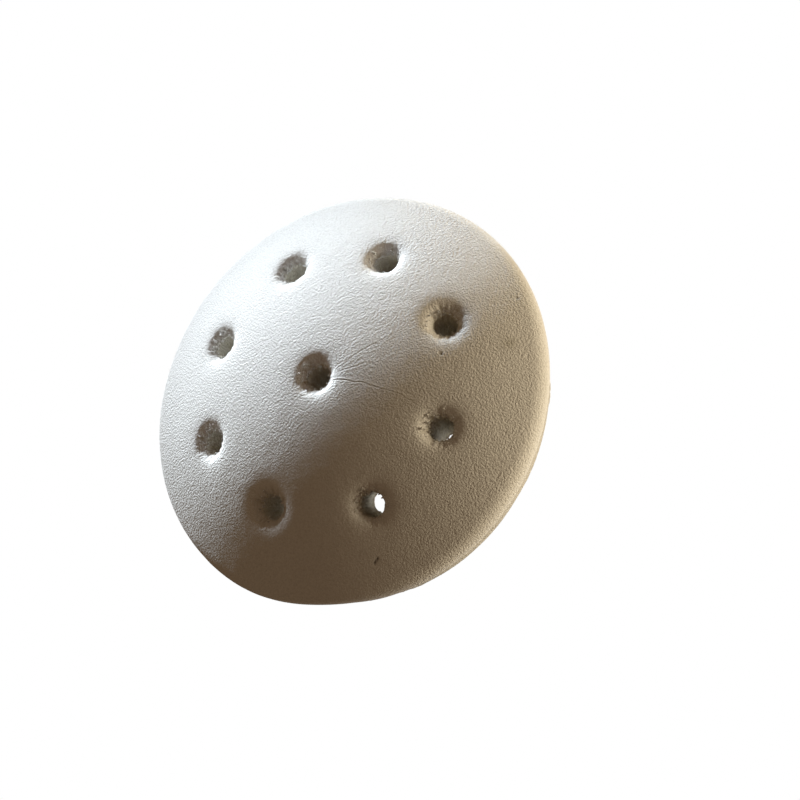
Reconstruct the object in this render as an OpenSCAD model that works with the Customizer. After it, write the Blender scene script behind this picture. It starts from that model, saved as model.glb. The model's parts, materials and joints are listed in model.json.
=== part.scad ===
// Flower frog: a hand-made domed clay disc with a stem hole in the middle and a ring of stem holes
// around it, glued to a thin non-slip pad. Every hole runs right through the clay, the glue and the pad.
// The origin is the centre of the underside and +Z runs up through the top of the dome.

/* [Dome] */
// Widest diameter, across the rounded rim
rim_d = 110; // [96:1:130]
// Height from the table to the top of the dome
total_h = 29; // [27:0.5:34]
// Height of the widest point above the table
rim_h = 11.5; // [9:0.5:13]
// Radius that rounds the rim between the dome and the cut side
rim_round = 2.5; // [1:0.5:3.5]
// Slope of the cut side, which tapers in towards the table, in degrees from upright
side_taper = 22; // [5:1:26]

/* [Stem holes] */
// Diameter of each punched hole
hole_d = 6.4; // [4:0.1:8]
// Number of holes in the ring around the middle one
ring_count = 8; // [4:1:8]
// Distance from the middle of the dome to a ring hole's mouth
ring_r = 35; // [30:0.5:37]
// Direction of the first ring hole, in degrees from +X
ring_start = 6.5; // [0:0.5:44]
// Width of the soft dimple around each hole
dimple_d = 13; // [9:0.5:15]
// Depth of the dimple, from the dome down to the hole's edge
dimple_h = 2.2; // [1:0.1:3]

/* [Pad] */
// Thickness of the non-slip pad
pad_h = 1.5; // [1:0.1:3]
// Thickness of the glue between pad and clay
glue_h = 0.3; // [0.2:0.1:0.6]
// How far the pad's edge stays inside the cut side
pad_inset = 0.4; // [0:0.1:1]
// How much wider than the punched holes the pad's own holes are, on the radius
pad_hole_gap = 0.6; // [0.2:0.1:1]

/* [Hidden] */
$fn = 96;

// How far each ring hole strays from an even pitch, in degrees, and from the ring, in millimetres
pitch_stray = [0, -0.5, -0.5, -1, -0.5, 2, -1, 0.5];
ring_stray = [0, 0, 0, 0, -0.5, 1, 0, -0.5];
// Lean of each ring hole: outwards at the top, and sideways, in degrees
lean_out = [18, 18, 18, 18, 18, 25, 15, 20];
lean_side = [0, 0, 0, 0, 0, -7, 0, 0];

hole_r = hole_d / 2;
dimple_r = dimple_d / 2;
clay_z = pad_h + glue_h;
most_lean = 30;                 // cutters are long enough for holes that lean up to this, in degrees
past = 5;                       // how far a cutter runs past a face, so that it cuts clean
dome_steps = 18;                // segments along the dome's outline
round_steps = 5;                // segments around the rim
flare_steps = 4;                // segments along a dimple's outline
flare_start = 18;               // where a dimple's curve begins, in degrees, so that it crosses the dome clearly

// The rim is an arc that touches the cut side below and the dome's sphere above.
arc_r = rim_d / 2 - rim_round;
arc_up = total_h - rim_h - rim_round;
arc_drop = (arc_r * arc_r - arc_up * arc_up) / (2 * arc_up);
dome_r = arc_up + arc_drop + rim_round;
dome_z = total_h - dome_r;
dome_edge = atan2(arc_r, arc_drop);

function side_r(z) = arc_r + rim_round / cos(side_taper) - (rim_h - z) * tan(side_taper);
function dome_top(r) = dome_z + sqrt(dome_r * dome_r - r * r);
function ring_turn(i) = ring_start + i * 360 / ring_count + pitch_stray[i];

dome_outline = [for (i = [0 : dome_steps]) let (a = dome_edge * i / dome_steps)
    [dome_r * sin(a), dome_z + dome_r * cos(a)]];
rim_outline = [for (i = [1 : round_steps])
    let (a = 90 - dome_edge - (90 - dome_edge + side_taper) * i / round_steps)
    [arc_r + rim_round * cos(a), rim_h + rim_round * sin(a)]];

// A dimple's outline runs from the hole's edge, where it is upright, out to the dome, where it is nearly flat.
// It starts below the mouth by the drop of the dome across its own radius.
dimple_sag = dome_r - sqrt(dome_r * dome_r - dimple_r * dimple_r);
dimple_outline = [for (i = [0 : flare_steps]) let (a = 90 - (90 - flare_start) * i / flare_steps)
    [dimple_r - (dimple_r - hole_r) * sin(a), -dimple_sag - dimple_h * (1 - cos(a))]];

// Puts what it is given at each hole, upright in the hole: the middle one, then the ring.
module at_holes() {
    translate([0, 0, total_h]) children();
    for (i = [0 : ring_count - 1]) let (r = ring_r + ring_stray[i])
        rotate([0, 0, ring_turn(i)])
            translate([r, 0, dome_top(r)])
                rotate([lean_side[i], lean_out[i], 0]) children();
}

module hole_cutter(r) {
    reach = total_h / cos(most_lean) + past;
    translate([0, 0, -reach]) cylinder(h = reach + past, r = r);
}

module dimple_cutter() {
    low = dimple_outline[0];
    high = dimple_outline[flare_steps];
    rotate_extrude() polygon(concat(
        [[0, low.y]], dimple_outline,
        [[high.x + past, high.y + past * tan(flare_start)], [0, high.y + past * tan(flare_start)]]));
}

module frog_body() {
    color("#e8e3d8") difference() {
        rotate_extrude() polygon(concat([[0, clay_z]], dome_outline, rim_outline, [[side_r(clay_z), clay_z]]));
        at_holes() hole_cutter(hole_r);
        at_holes() dimple_cutter();
    }
}

module pad_disc(low, high) {
    difference() {
        translate([0, 0, low]) cylinder(h = high - low, r = side_r(0) - pad_inset);
        at_holes() hole_cutter(hole_r + pad_hole_gap);
    }
}

module pad_glue() {
    color("#b9b29c") pad_disc(pad_h, clay_z);
}

module base_pad() {
    color("#4d4a49") pad_disc(0, pad_h);
}

frog_body();
pad_glue();
base_pad();
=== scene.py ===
import json
import math
from copy import copy

import bmesh
import bpy
import numpy as np
from mathutils import Matrix, Vector


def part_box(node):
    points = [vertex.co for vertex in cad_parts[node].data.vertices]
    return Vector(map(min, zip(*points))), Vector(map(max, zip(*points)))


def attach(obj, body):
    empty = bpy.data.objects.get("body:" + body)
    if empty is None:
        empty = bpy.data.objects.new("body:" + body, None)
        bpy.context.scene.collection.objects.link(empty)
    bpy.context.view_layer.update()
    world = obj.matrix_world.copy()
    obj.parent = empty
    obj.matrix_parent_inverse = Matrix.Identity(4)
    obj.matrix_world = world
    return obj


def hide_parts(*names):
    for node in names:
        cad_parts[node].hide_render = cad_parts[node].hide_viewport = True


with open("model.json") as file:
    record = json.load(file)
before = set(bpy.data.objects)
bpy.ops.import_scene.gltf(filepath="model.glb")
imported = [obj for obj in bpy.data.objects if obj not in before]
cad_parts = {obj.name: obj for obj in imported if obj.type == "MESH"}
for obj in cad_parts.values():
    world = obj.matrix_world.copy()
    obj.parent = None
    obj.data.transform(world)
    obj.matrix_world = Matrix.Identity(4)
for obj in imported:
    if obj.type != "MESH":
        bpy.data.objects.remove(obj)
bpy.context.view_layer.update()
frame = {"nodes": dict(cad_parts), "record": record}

MM = 0.001
scene = bpy.context.scene
scene.view_settings.view_transform = "Standard"

# --- The place the frog is seen from: above its near side, with the camera rolled about its line of sight.

VIEW_UP, VIEW_ROUND, VIEW_ROLL = math.radians(57.6), math.radians(-8.0), math.radians(-53.3)
VIEW_AWAY, LENS = 607.0, 108
AIM_RIGHT, AIM_UP, AIM_HEIGHT = 14.7, -1.5, 14.0

towards = Vector((math.sin(VIEW_ROUND) * math.cos(VIEW_UP), -math.cos(VIEW_ROUND) * math.cos(VIEW_UP),
                  math.sin(VIEW_UP)))
level = Vector((math.cos(VIEW_ROUND), math.sin(VIEW_ROUND), 0))
steep = towards.cross(level)
right = math.cos(VIEW_ROLL) * level + math.sin(VIEW_ROLL) * steep
upward = towards.cross(right)

camera = bpy.data.objects.new("camera", bpy.data.cameras.new("camera"))
camera.data.lens = LENS
camera.data.clip_start = 0.01
camera.matrix_world = Matrix((right, upward, towards)).transposed().to_4x4()
aim = Vector((0, 0, AIM_HEIGHT)) + AIM_RIGHT * right + AIM_UP * upward
camera.location = (aim + VIEW_AWAY * towards) * MM
scene.collection.objects.link(camera)
scene.camera = camera

# --- The clay body: a thick pat of clay pressed over a shallow dome, trimmed round the side with a knife
# and punched nine times from above. It is one piece, so its skin, holes and cut side are one mesh.

clay_low, clay_high = (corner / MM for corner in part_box("frog_body"))
CLAY_FOOT = clay_low.z                   # where the clay starts above the pad
RIM_R = clay_high.x
RIM_UP = 11.5
DOME_TOP = 29.0
SIDE_TAPER = math.radians(22)
SIDE_R = RIM_R + 1.1                     # the cut side's line, carried up to the rim's height
RIM_SOFT = 4.0                           # how softly the dome turns over into the cut side
OUT_OF_ROUND = [(210, -1.5, 15), (85, 0.5, 30), (-50, -0.5, 25)]     # where in degrees, how far, how widely
SEAM = math.radians(-62)                 # where the knife went in and came out again
SKIN_STEP = 0.36                         # spacing of the skin's points, in mm
EXITS_BELOW = 12.0                       # a hole's edge above this height is its mouth, below it its exit
FUNNEL_REACH, BORE_REACH = 10, 7         # how far from a hole's axis its funnel and its wall are worked out

edge_up = DOME_TOP - RIM_UP
DOME_R = (edge_up ** 2 + (RIM_R + 1.0) ** 2) / (2 * edge_up)
DOME_Z = DOME_TOP - DOME_R

DIMPLE_DEEP, DIMPLE_WIDE, DIMPLE_SOFT = 1.9, 1.75, 0.5     # a funnel round each hole, with a rounded crest
MOUTH_SOFT, EXIT_SOFT = 0.25, 0.35

random = np.random.default_rng(7)
holes = [m for m in frame["record"]["mounts"] if m["kind"] == "bore"]


class Lattice:
    """Smooth random values between -1 and 1 in space, repeating after 61 cells."""

    CELLS = 61
    SHIFT = 1000.37                      # keeps the cells' numbers above zero

    def __init__(self):
        self.values = random.uniform(-1, 1, (self.CELLS,) * 3)

    def at(self, points, size):
        cell = np.asarray(points) / size + self.SHIFT
        low = np.floor(cell).astype(int)
        part = cell - low
        part = part * part * (3 - 2 * part)
        total = 0
        for corner in range(8):
            step = np.array([corner & 1, corner >> 1 & 1, corner >> 2 & 1])
            weight = np.prod(np.where(step, part, 1 - part), axis=1)
            i, j, k = ((low + step) % self.CELLS).T
            total = total + weight * self.values[i, j, k]
        return total


lattice = Lattice()


def soft_max(a, b, soft):
    share = np.clip(0.5 + 0.5 * (a - b) / soft, 0, 1)
    return b + (a - b) * share + soft * share * (1 - share)


class Hole:
    """One punched hole: its axis, the plane across it, and the ragged edge that the punch left."""

    def __init__(self, mount):
        self.axis = np.array(mount["axis"])
        self.point = np.array(mount["pos_m"]) / MM
        self.radius = mount["dims"]["r_mm"]
        side = np.cross(self.axis, [0.3, 1, 0.2])
        self.across = side / np.linalg.norm(side)
        self.along = np.cross(self.axis, self.across)
        self.salt = random.uniform(0, 40, 3)

    def centre(self, height):
        return self.point + self.axis * (height - self.point[2]) / self.axis[2]

    def polar(self, points):
        from_point = points - self.point
        x, y = from_point @ self.across, from_point @ self.along
        return np.hypot(x, y), np.arctan2(y, x)

    def wall(self, turn):
        """Unit vectors that point out from the axis at these turns round it."""
        return np.cos(turn)[:, None] * self.across + np.sin(turn)[:, None] * self.along

    def mouth(self, turn, away=0.0):
        """Points of the dimple so far away from the hole's edge, found by halving along the axis."""
        foot = self.point + (self.radius + away)[:, None] * self.wall(turn)
        low, high = np.full(len(turn), -6.0), np.full(len(turn), 14.0)
        for halving in range(24):
            middle = (low + high) / 2
            inside = pressed_dome(foot + middle[:, None] * self.axis) < 0
            low, high = np.where(inside, middle, low), np.where(inside, high, middle)
        return foot + middle[:, None] * self.axis

    def ripple(self, turn, depth, folds, stretch):
        """Folds that run down the hole, varying round it and slowly with depth."""
        ring = np.stack([np.cos(turn) * folds, np.sin(turn) * folds, depth / stretch], axis=1)
        return lattice.at(ring + self.salt, 1.0)


punched = [Hole(m) for m in holes]


def trimmed_r(turn):
    """Radius of the cut side at the rim's height: the knife did not follow a true circle."""
    radius = SIDE_R
    for middle, change, width in OUT_OF_ROUND:
        radius = radius + change * np.exp(-(((np.degrees(turn) - middle + 180) % 360 - 180) / width) ** 2 / 2)
    return radius


def pressed_dome(points):
    """How far points lie above the dome, with the dimple that the punch drew in round each hole."""
    dome = np.hypot(np.hypot(points[:, 0], points[:, 1]), points[:, 2] - DOME_Z) - DOME_R
    for hole in punched:
        away, turn = hole.polar(points)
        near = away < FUNNEL_REACH
        in_funnel = (DIMPLE_WIDE + hole.radius - np.maximum(away[near], hole.radius - 0.6)) / DIMPLE_SOFT
        dip = DIMPLE_DEEP / DIMPLE_WIDE * DIMPLE_SOFT * np.logaddexp(0, in_funnel)
        dip *= 1 + 0.22 * hole.ripple(turn[near], points[near, 2], 8.0, 5.0)
        dome[near] += dip + 0.35 * np.exp(-((away[near] - hole.radius) / 3.4) ** 2)
    return dome


def skin(points):
    """How far points lie outside the clay, in mm, negative inside."""
    x, y, z = points.T
    out_of_side = np.hypot(x, y) - trimmed_r(np.arctan2(y, x))
    side = out_of_side * math.cos(SIDE_TAPER) + (RIM_UP - z) * math.sin(SIDE_TAPER)
    body = soft_max(soft_max(pressed_dome(points), side, RIM_SOFT), CLAY_FOOT - z, 0.4)
    bore = np.full(len(points), -50.0)
    for hole in punched:
        away, turn = hole.polar(points)
        near = away < BORE_REACH
        wall = hole.radius * (1 + 0.03 * hole.ripple(turn[near], z[near] + 20, 6.0, 2.0))
        lip = 0.5 + 0.3 * hole.ripple(turn[near], z[near] * 0 + 9, 5.0, 1.0)
        wall -= lip * np.exp(-(z[near] - CLAY_FOOT) / 0.9)
        bore[near] = np.maximum(bore[near], wall - away[near])
    return soft_max(body, bore, np.where(z > EXITS_BELOW, MOUTH_SOFT, EXIT_SOFT))


def skin_and_slope(points):
    step = 0.04
    here = skin(points)
    return here, np.stack([(skin(points + step * axis) - here) / step for axis in np.eye(3)], axis=1)


def remeshed(source, name):
    piece = bpy.data.objects.new(name, source.data.copy())
    scene.collection.objects.link(piece)
    remesh = piece.modifiers.new("skin", "REMESH")
    remesh.mode = "VOXEL"
    remesh.voxel_size = SKIN_STEP * MM
    mesh = bpy.data.meshes.new_from_object(piece.evaluated_get(bpy.context.evaluated_depsgraph_get()))
    piece.modifiers.clear()
    piece.data = mesh
    mesh.materials.clear()
    mesh.name = name
    return piece


body = remeshed(frame["nodes"]["frog_body"], "clay_body")
mesh = body.data
points = np.empty(len(mesh.vertices) * 3)
mesh.vertices.foreach_get("co", points)
points = points.reshape(-1, 3) / MM
for settle in range(4):
    gap, gradient = skin_and_slope(points)
    size = np.maximum((gradient ** 2).sum(1), 0.2)
    move = -gap[:, None] * gradient / size[:, None]
    reach = np.linalg.norm(move, axis=1, keepdims=True)
    points += move * np.minimum(1, 0.6 / np.maximum(reach, 1e-9))
_, outward = skin_and_slope(points)
outward /= np.maximum(np.linalg.norm(outward, axis=1, keepdims=True), 1e-9)

# Where each point lies: on the knife-cut side, or down in a hole.
x, y, z = points.T
r = np.hypot(x, y)
along_cut = (np.arctan2(y, x) - SEAM) % (2 * math.pi) * RIM_R
in_hole, ridge = np.zeros(len(points)), np.zeros(len(points))
for hole in punched:
    away, turn = hole.polar(points)
    in_hole = np.maximum(in_hole, np.clip((hole.radius + 0.35 - away) / 0.5, 0, 1))
    near = (away < hole.radius + 3) & (z > EXITS_BELOW)
    fade = np.clip((hole.radius + 2.6 - away[near]) / 1.6, 0, 1) * (1 - in_hole[near])
    ridge[near] = fade * hole.ripple(turn[near], away[near] * 0 + 30, 10.0, 1.0)
cut = np.clip((RIM_UP - 2.8 + 0.5 * lattice.at(points, 5.0) - z) / 0.8, 0, 1) * (r > 40) * (1 - in_hole)

pebble = lattice.at(points, 1.25)
swell = lattice.at(points, 24.0)
on_skin = (1 - cut) * (1 - in_hole) * (z > CLAY_FOOT + 0.5)
relief = on_skin * (0.010 * pebble + 0.02 * lattice.at(points + 17, 3.2) + 0.15 * swell)

# Creases run out from the middle hole, where the clay dried while it was stretched. Each has its strength,
# the direction it starts in, the way it heads and how far it bends, in degrees, and its length.
CREASES = [
    (1.0, -78, -70, -20, 24),
    (0.8, -52, -25, -10, 18),
    (0.6, -62, -42, -15, 13),
    (0.35, 166, 163, -17, 12),
]
CREASE_START, CREASE_STEPS = 5.5, 8

# Two pits, a smudge and a short slit mark the dome, each so far from the middle and in such a direction.
# A pit's last number is its size, and the slit has a length and a heading of its own.
PITS = [(32, -53, 0.34), (51.5, -37, 0.24)]
SMUDGE = (47.5, -51)
SLIT, SLIT_LONG, SLIT_HEADING = (47.5, -133), 1.5, -12
WRINKLE_TURN = math.radians(-35)         # the fine wrinkles of the skin all run this way


def from_middle(distance, turn):
    return np.array([distance * math.cos(math.radians(turn)), distance * math.sin(math.radians(turn))])


def crease_route(start_turn, heading, bend, length):
    route = [from_middle(CREASE_START, start_turn)]
    for step in range(CREASE_STEPS):
        route.append(route[-1] + from_middle(length / CREASE_STEPS, heading + bend * step / CREASE_STEPS))
    return route


def from_line(start, end):
    """Signed distance from a line on the dome, seen from above, and how far along it that is."""
    run = end - start
    offset = np.stack([x, y], axis=1) - start
    along = np.clip(offset @ run / (run @ run), 0, 1)
    gap = offset - along[:, None] * run
    return np.copysign(np.hypot(gap[:, 0], gap[:, 1]), run[0] * offset[:, 1] - run[1] * offset[:, 0]), along


crease, crease_force = np.full(len(points), 9.0), np.zeros(len(points))
wiggle = 0.35 * lattice.at(points, 2.4)
for strength, *course in CREASES:
    route = crease_route(*course)
    for step, (start, end) in enumerate(zip(route, route[1:])):
        gap, along = from_line(start, end)
        gap = gap + wiggle
        nearer = (np.abs(gap) < np.abs(crease)) & (z > RIM_UP)
        crease[nearer] = gap[nearer]
        crease_force[nearer] = strength * (1 - 0.75 * ((step + along[nearer]) / CREASE_STEPS) ** 2)


def away_from(spot):
    middle = from_middle(*spot)
    return np.hypot(x - middle[0], y - middle[1])


half_slit = from_middle(SLIT_LONG / 2, SLIT_HEADING)
slit = np.abs(from_line(from_middle(*SLIT) - half_slit, from_middle(*SLIT) + half_slit)[0])
slit = np.clip(1 - slit / 0.34, 0, 1)
pit = np.maximum.reduce([np.clip(1.3 - away_from(spot) / size, 0, 1) for *spot, size in PITS])
speck = np.maximum(slit, pit) * (z > RIM_UP)
stain = 0.5 * np.exp(-away_from(SMUDGE) ** 2 / 2.2) * (z > RIM_UP)
relief += 0.22 * ridge - 0.3 * speck

# The knife dragged fine level strokes and torn patches round the side, and left a notched seam.
strokes = np.stack([along_cut / 11.0, z / 0.5, r * 0], axis=1)
drag = np.stack([along_cut / 4.5, z / 1.5, r * 0], axis=1)
torn = np.clip(lattice.at(np.stack([along_cut / 1.7, z / 0.8, r * 0 + 9], axis=1), 1.0) - 0.25, 0, 1)
seam = np.minimum(along_cut, 2 * math.pi * RIM_R - along_cut) + 0.5 * lattice.at(points + 3, 1.6)
relief += cut * (0.11 * lattice.at(strokes, 1.0) + 0.09 * lattice.at(drag + 9, 1.0) + 0.35 * torn * pebble
                 - 0.35 * np.exp(-(seam / 0.5) ** 2) + 0.25 * np.exp(-((seam - 1.3) / 0.8) ** 2)
                 - 0.8 * np.exp(-(seam / 0.9) ** 2 - (z - CLAY_FOOT) / 0.9))
relief += in_hole * 0.07 * lattice.at(points * [1, 1, 0.5], 0.9)
points += relief[:, None] * outward
mesh.vertices.foreach_set("co", (points * MM).ravel())
marks = {"cut": cut, "in_hole": in_hole, "crease": crease, "crease_force": crease_force, "speck": speck,
         "stain": stain, "ridge": ridge}
for name, values in marks.items():
    layer = mesh.attributes.new(name, "FLOAT", "POINT")
    layer.data.foreach_set("value", values)
layer = mesh.attributes.new("round_side", "FLOAT_VECTOR", "POINT")
layer.data.foreach_set("vector", (np.stack([along_cut, z, r], axis=1) * MM).ravel())
mesh.shade_smooth()
mesh.update()


class Value:
    """A socket that takes part in Python arithmetic, adding the Math nodes as it goes."""

    def __init__(self, tree, socket):
        self.tree, self.socket = tree, socket

    def node(self, kind, settings=None, **sockets):
        made = self.tree.nodes.new(kind)
        for key, setting in (settings or {}).items():
            if key == "stops":
                ramp = made.color_ramp
                while len(ramp.elements) < len(setting):
                    ramp.elements.new(1)
                for stop, (place, colour) in zip(ramp.elements, setting):
                    stop.position, stop.color = place, colour
            else:
                setattr(made, key, setting)
        for key, given in sockets.items():
            number = key.rsplit("_", 1)[-1]
            socket = made.inputs[int(number)] if number.isdigit() else made.inputs[key.replace("_", " ")]
            if isinstance(given, Value):
                self.tree.links.new(given.socket, socket)
            else:
                socket.default_value = given
        return made

    def out(self, kind, output, settings=None, **sockets):
        return Value(self.tree, self.node(kind, settings, **sockets).outputs[output])

    def sum(self, operation, a, b=0.0):
        return self.out("ShaderNodeMath", 0, {"operation": operation}, in_0=a, in_1=b)

    def size(self):
        return self.sum("ABSOLUTE", self)

    def above_zero(self):
        return self.sum("MAXIMUM", self, 0.0)

    def __add__(self, other):
        return self.sum("ADD", self, other)

    def __radd__(self, other):
        return self.sum("ADD", other, self)

    def __sub__(self, other):
        return self.sum("SUBTRACT", self, other)

    def __rsub__(self, other):
        return self.sum("SUBTRACT", other, self)

    def __mul__(self, other):
        return self.sum("MULTIPLY", self, other)

    def __rmul__(self, other):
        return self.sum("MULTIPLY", other, self)

    def mixed(self, low, high):
        return self.out("ShaderNodeMix", 2, {"data_type": "RGBA"}, in_0=self, in_6=low, in_7=high)


class Finish(Value):
    """A material with one Principled surface, and the point in space that its patterns follow."""

    def __init__(self, name, specular, coat=0.0):
        self.material = bpy.data.materials.new(name)
        self.material.use_nodes = True
        tree = self.material.node_tree
        super().__init__(tree, tree.nodes.new("ShaderNodeTexCoord").outputs["Object"])
        self.surface = tree.nodes["Principled BSDF"]
        self.surface.inputs["Specular IOR Level"].default_value = specular
        self.surface.inputs["Coat Weight"].default_value = coat

    def noise(self, size_mm, detail=2.0, rough=0.5):
        return self.out("ShaderNodeTexNoise", 0, in_0=self, Scale=1 / (size_mm * MM), Detail=detail,
                        Roughness=rough)

    def drawn_out(self, turn, stretch, space=None):
        """The same finish with its patterns drawn out by stretch along one direction of the space."""
        made = copy(self)
        made.socket = self.out("ShaderNodeMapping", 0, {"vector_type": "TEXTURE"}, Vector=space or self,
                               Rotation=(0, 0, turn), Scale=(stretch, 1, 1)).socket
        return made

    def mask(self, name):
        return self.out("ShaderNodeAttribute", 2, {"attribute_name": name})

    def feed(self, **sockets):
        for key, given in sockets.items():
            self.tree.links.new(given.socket, self.surface.inputs[key.replace("_", " ")])

    def bump(self, *layers):
        """Relief in layers, each a height and how many mm a height of 1 stands up."""
        under = {}
        for height, depth in layers:
            under = {"Normal": self.out("ShaderNodeBump", 0, Height=height, Distance=depth * MM, **under)}
        self.feed(**under)


clay = Finish("clay", specular=0.25)
cut_side = clay.mask("cut")
knife = clay.drawn_out(0, 12.0, clay.out("ShaderNodeAttribute", 1, {"attribute_name": "round_side"}))
skin_tone = clay.noise(14).mixed((0.89, 0.89, 0.88, 1), (0.94, 0.94, 0.935, 1))
# The cut side is painted darker and warmer than the skin: painted warm shade on the same clay, with the
# knife's streaks in it.
cut_tone = knife.noise(0.7, 4, 0.7).mixed((0.58, 0.555, 0.49, 1), (0.86, 0.84, 0.79, 1))
# Down the holes the clay is painted darker and yellower than the skin: painted shade, and painted warm light
# through the bores.
bore_shade_tone = clay.noise(1.5, 3).mixed((0.72, 0.69, 0.56, 1), (0.84, 0.81, 0.70, 1))
tone = clay.mask("in_hole").mixed(cut_side.mixed(skin_tone, cut_tone), bore_shade_tone)
# Painted shade: the grooves between the ridges round each funnel are darkened to brown.
furrow_shade = (-0.6 * clay.mask("ridge")).above_zero()
tone = furrow_shade.mixed(tone, (0.42, 0.37, 0.27, 1))
tone = clay.mask("stain").mixed(tone, (0.36, 0.34, 0.24, 1))
line = clay.mask("crease")
groove = (1 - line.size() * 4.0).above_zero() * clay.mask("crease_force")
lip = (1 - (line - 0.4).size() * 3.0).above_zero() * clay.mask("crease_force")
# Painted shade: the tone darkens along each crease's groove.
tone = (0.2 * groove).mixed(tone, (0.30, 0.25, 0.18, 1))
# Painted shade: the pits and the slit are painted nearly black, for the shade inside them.
tone = clay.mask("speck").mixed(tone, (0.05, 0.04, 0.03, 1))
grain = clay.noise(0.5, 2, 0.6)
tone = (grain * grain * 0.8).mixed(tone, (0.52, 0.50, 0.47, 1))
wrinkle = clay.drawn_out(WRINKLE_TURN, 7.0).noise(0.55, 2)
clay.feed(Base_Color=tone, Roughness=0.62 + 0.2 * clay.noise(0.9))
clay.bump((wrinkle, 0.08), (grain, 0.36), (0.8 * lip - groove, 0.08), (cut_side * knife.noise(0.35, 3), 0.30),
          (cut_side * clay.noise(0.9, 4), 0.25))
mesh.materials.append(clay.material)

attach(body, "root")
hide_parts("frog_body")

# --- Burrs of the same clay: torn flakes that the punch lifted round each mouth, the ragged lips that it
# pushed out below, and crumbs that the knife left along the foot of the cut side.

DRAG = np.append(from_middle(1, -110), 0)    # the punch leaned this way, and tore most chips on the far side
FAR_CHIPS, NEAR_CHIPS, LIPS, CRUMBS = 30, 8, 30, 60    # the first three at each hole, the crumbs in all
burrs = bmesh.new()


def flake(base, tangent, growth, width, height, thick):
    """A thin torn chip that stands on base and ends in a crooked, curled tip."""
    facing = np.cross(tangent, growth)
    facing /= np.linalg.norm(facing)
    a, b, c, d, curl = random.uniform([0.5, 0.45, -0.3, 0.4, -0.4], [1.0, 0.9, 0.3, 0.95, 0.4])
    outline = [(-0.5, -0.3, 0), (0.5, -0.3, 0), (0.5 * a, b, 0.4), (c, 1, 1), (-0.5 * a, d, 0.4)]
    front, back = [[burrs.verts.new((base + tangent * width * u + growth * height * v
                                     + facing * (curl * height * w + side * thick * (1.1 - 0.6 * w))) * MM)
                    for u, v, w in outline] for side in (0.5, -0.5)]
    burrs.faces.new(front)
    burrs.faces.new(back[::-1])
    for i in range(5):
        j = (i + 1) % 5
        burrs.faces.new((front[j], front[i], back[i], back[j]))


for hole in punched:
    dragged = np.arctan2(hole.along @ DRAG, hole.across @ DRAG)
    turns = np.concatenate([random.normal(dragged + math.pi, 0.9, FAR_CHIPS),
                            random.normal(dragged, 1.0, NEAR_CHIPS)])
    outside = random.uniform(0, 1.5, FAR_CHIPS) * (random.uniform(0, 1, FAR_CHIPS) > 0.5)
    outside = np.concatenate([outside, np.zeros(NEAR_CHIPS)])
    for edge, out, over in zip(hole.mouth(turns, outside), hole.wall(turns), np.cos(turns - dragged)):
        width, height, lean = random.uniform([0.2, 0.3, -0.1], [0.8, 0.8, 0.6])
        height += max(-over, 0) * random.uniform(0, 0.7)
        growth = hole.axis * (1 - lean) - out * lean
        growth /= np.linalg.norm(growth)
        flake(edge - 0.1 * hole.axis, np.cross(hole.axis, out), growth, width, height, 0.18)
    turns = random.uniform(0, 2 * math.pi, LIPS)
    for out in hole.wall(turns):
        width, height, lean = random.uniform([0.5, 0.25, 0.3], [1.4, 0.7, 0.8])
        growth = -hole.axis * (1 - lean) + out * lean * 0.6
        edge = hole.point + (hole.radius - 0.1) * out
        edge = edge + hole.axis * (CLAY_FOOT + 0.3 - edge[2]) / hole.axis[2]
        flake(edge, np.cross(hole.axis, out), growth / np.linalg.norm(growth), width, height, 0.2)
for turn in random.uniform(0, 2 * math.pi, CRUMBS):
    out = np.array([math.cos(turn), math.sin(turn), 0])
    width, height, drop = random.uniform([0.5, 0.2, 1.0], [1.8, 0.45, 3.0])
    growth = out - np.array([0, 0, drop])
    foot_r = trimmed_r(turn) - (RIM_UP - CLAY_FOOT) * math.tan(SIDE_TAPER)
    flake(out * (foot_r - 0.3) + [0, 0, CLAY_FOOT + 0.3], np.array([-out[1], out[0], 0]),
          growth / np.linalg.norm(growth), width, height, 0.22)

burr_mesh = bpy.data.meshes.new("clay_burrs")
bmesh.ops.recalc_face_normals(burrs, faces=burrs.faces)
burrs.to_mesh(burr_mesh)
burrs.free()
burr_mesh.materials.append(clay.material)
burr_piece = bpy.data.objects.new("clay_burrs", burr_mesh)
scene.collection.objects.link(burr_piece)
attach(burr_piece, "root")

# --- The glue film and the pad under the clay: two thin discs, punched where the holes come out.
# The pad's dark grey is painted shade for the clay's underside; the glue shows as a thin pale line above it.

EDGE_STEPS, HOLE_STEPS = 240, 56         # points round a disc's edge and round each hole in it


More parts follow.
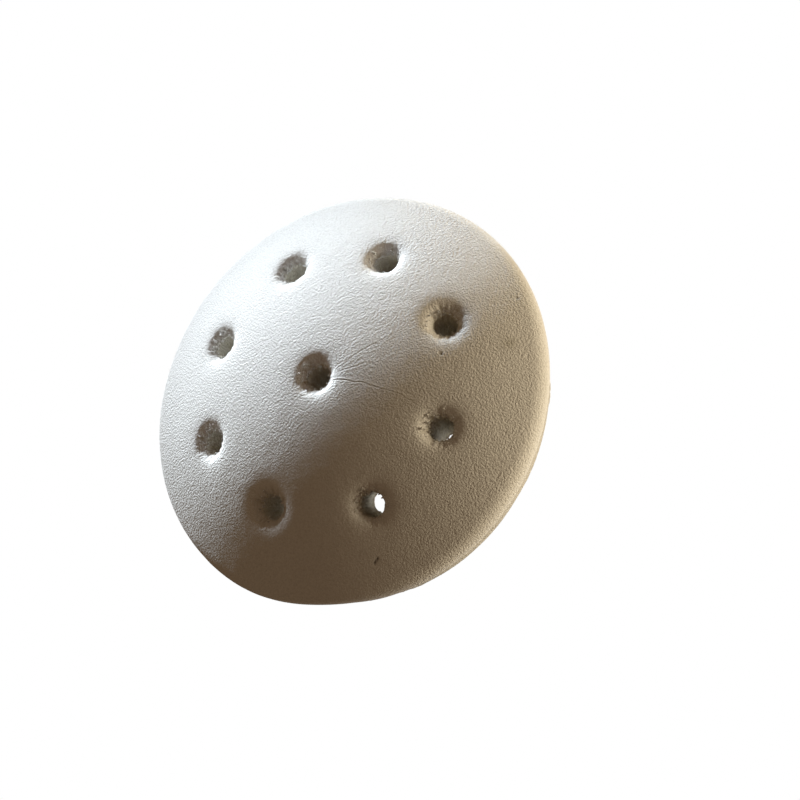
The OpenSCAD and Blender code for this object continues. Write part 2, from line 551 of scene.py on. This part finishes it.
def punched_disc(name, radius, levels, hole_gap, ragged):
    """A disc through levels, each a height and how far the edges are drawn in there."""
    disc = bmesh.new()
    loops = []
    for height, inset in levels:
        rings = []
        turns = np.linspace(0, 2 * math.pi, EDGE_STEPS, endpoint=False)
        circle = np.stack([np.cos(turns) * 6, np.sin(turns) * 6, turns * 0 + radius], axis=1)
        wander = 0.12 * lattice.at(circle, 1.0)
        rings.append([(math.cos(t) * (radius - inset + w), math.sin(t) * (radius - inset + w))
                      for t, w in zip(turns, wander)])
        for hole in punched:
            middle = hole.centre(height)
            turns = np.linspace(0, 2 * math.pi, HOLE_STEPS, endpoint=False)
            folds = hole.ripple(turns, turns * 0 + 50, 5.0, 1.0)
            rings.append([(middle[0] + math.cos(t) * (hole.radius + hole_gap + inset + ragged * f),
                           middle[1] + math.sin(t) * (hole.radius + hole_gap + inset + ragged * f))
                          for t, f in zip(turns, folds)])
        loops.append([[disc.verts.new((a * MM, b * MM, height * MM)) for a, b in ring] for ring in rings])
    for low, high in zip(loops, loops[1:]):
        for lower, upper in zip(low, high):
            for i in range(len(lower)):
                j = (i + 1) % len(lower)
                disc.faces.new((lower[i], lower[j], upper[j], upper[i]))
    for end in (loops[0], loops[-1]):
        edges = [disc.edges.get((ring[i - 1], ring[i])) for ring in end for i in range(len(ring))]
        bmesh.ops.triangle_fill(disc, edges=edges, use_beauty=True, use_dissolve=False)
    bmesh.ops.recalc_face_normals(disc, faces=disc.faces)
    made = bpy.data.meshes.new(name)
    disc.to_mesh(made)
    disc.free()
    piece = bpy.data.objects.new(name, made)
    scene.collection.objects.link(piece)
    return piece


glue_low, glue_high = (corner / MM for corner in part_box("pad_glue"))
glue = punched_disc("glue_film", glue_high.x + 0.1, [(glue_low.z, 0.1), (glue_high.z + 0.05, 0.0)], 0.5, 0.25)
film = Finish("dried_glue", specular=0.4)
film.feed(Base_Color=film.noise(3, 3).mixed((0.38, 0.34, 0.25, 1), (0.55, 0.50, 0.38, 1)),
          Roughness=0.45 + 0.25 * film.noise(1.2))
film.bump((film.noise(0.8, 3), 0.1))
glue.data.materials.append(film.material)
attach(glue, "root")
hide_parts("pad_glue")

_, pad_high = (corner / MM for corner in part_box("base_pad"))
pad_levels = [(0.0, 0.3), (0.12, 0.08), (0.35, 0.0), (pad_high.z - 0.2, 0.0), (pad_high.z, 0.12)]
pad = punched_disc("rubber_pad", pad_high.x, pad_levels, 0.6, 0.15)
# Painted shade: the pad's dark grey stands in for the shade under the clay.
pad_shade_finish = Finish("pad_rubber", specular=0.35)
pad_shade_finish.feed(Base_Color=pad_shade_finish.noise(9, 4).mixed((0.125, 0.122, 0.120, 1), (0.175, 0.172, 0.168, 1)),
            Roughness=0.58 + 0.22 * pad_shade_finish.noise(2.0, 3))
pad_shade_finish.bump((pad_shade_finish.noise(4, 2), 0.12), (pad_shade_finish.noise(0.5, 3), 0.04))
pad.data.materials.append(pad_shade_finish.material)
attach(pad, "root")
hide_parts("base_pad")

# --- The studio: a floor that looks white but lights nothing, a strong cool key from behind on the left,
# a warm softer light from the right, a dim warm surround and weak light from underneath.

FLOOR_HALF, FLOOR_DROP = 4000.0, 0.2     # the floor lies a hair under the pad

floor_mesh = bpy.data.meshes.new("floor")
corners = [(u * FLOOR_HALF * MM, v * FLOOR_HALF * MM, 0) for u, v in ((-1, -1), (1, -1), (1, 1), (-1, 1))]
floor_mesh.from_pydata(corners, [], [(0, 1, 2, 3)])
floor = bpy.data.objects.new("floor", floor_mesh)
floor.location.z = -FLOOR_DROP * MM
scene.collection.objects.link(floor)
floor_paint = bpy.data.materials.new("white_floor")
floor_paint.use_nodes = True
tree = floor_paint.node_tree
tree.nodes.clear()
seen = Value(tree, tree.nodes.new("ShaderNodeLightPath").outputs["Is Camera Ray"])
front = 1 - seen.out("ShaderNodeNewGeometry", "Backfacing")
glow = seen.out("ShaderNodeEmission", 0, Color=(1, 1, 1, 1), Strength=1.0)
clear = seen.out("ShaderNodeBsdfTransparent", 0)
white = seen.out("ShaderNodeMixShader", 0, in_0=seen * front, in_1=clear, in_2=glow)
tree.links.new(white.socket, tree.nodes.new("ShaderNodeOutputMaterial").inputs["Surface"])
floor_mesh.materials.append(floor_paint)

world = bpy.data.worlds.new("studio")
world.use_nodes = True
scene.world = world
tree = world.node_tree
seen = Value(tree, tree.nodes.new("ShaderNodeLightPath").outputs["Is Camera Ray"])
surround = seen.mixed((0.115, 0.076, 0.045, 1), (1, 1, 1, 1))
tree.links.new(surround.socket, tree.nodes["Background"].inputs["Color"])


def sun(name, come_from, colour, strength, spread):
    light = bpy.data.lights.new(name, "SUN")
    light.color, light.energy, light.angle = colour, strength, math.radians(spread)
    lamp = bpy.data.objects.new(name, light)
    lamp.rotation_mode = "QUATERNION"
    lamp.rotation_quaternion = come_from.to_track_quat("Z", "Y")
    scene.collection.objects.link(lamp)


KEY_FROM = -0.57 * right + 0.71 * upward - 0.42 * towards
WARM_FROM = 0.95 * right + 0.22 * upward + 0.21 * towards
UNDER_FROM = Vector((0.2, -0.3, -1))
sun("key", KEY_FROM, (0.85, 0.935, 1.0), 9.8, 12)
sun("warm", WARM_FROM, (1.0, 0.84, 0.575), 2.9, 34)
sun("under", UNDER_FROM, (1.0, 0.97, 0.88), 0.95, 60)

# A graded scrim stands in the key's way and holds it back from the nearest rim, which it would burn out.
# Each step has its height and the share of the light that it lets through.
SCRIM_AWAY, SCRIM_HIGH, SCRIM_HALF = 76.0, 50.0, 120.0
SCRIM = [(0, 0.42), (16, 0.55), (22, 0.71), (26, 0.80), (30, 0.90), (34, 0.98), (38, 1.0)]

scrim_mesh = bpy.data.meshes.new("scrim")
corners = [(u * SCRIM_HALF * MM, 0, v * SCRIM_HIGH * MM) for u, v in ((-1, 0), (1, 0), (1, 1), (-1, 1))]
scrim_mesh.from_pydata(corners, [], [(0, 1, 2, 3)])
scrim = bpy.data.objects.new("scrim", scrim_mesh)
scrim.rotation_euler.z = math.atan2(KEY_FROM.y, KEY_FROM.x) - math.pi / 2
scrim.location = Vector((KEY_FROM.x, KEY_FROM.y, 0)).normalized() * SCRIM_AWAY * MM
scrim.visible_camera = False
scene.collection.objects.link(scrim)
net = bpy.data.materials.new("scrim_net")
net.use_nodes = True
tree = net.node_tree
tree.nodes.clear()
place = Value(tree, tree.nodes.new("ShaderNodeTexCoord").outputs["Object"])
height = place.out("ShaderNodeSeparateXYZ", 2, in_0=place) * (1 / (SCRIM_HIGH * MM))
stops = [(up / SCRIM_HIGH, (t, t, t, 1)) for up, t in SCRIM]
grade = height.out("ShaderNodeValToRGB", 0, {"stops": stops}, in_0=height)
through = grade.out("ShaderNodeBsdfTransparent", 0, Color=grade)
tree.links.new(through.socket, tree.nodes.new("ShaderNodeOutputMaterial").inputs["Surface"])
scrim_mesh.materials.append(net)
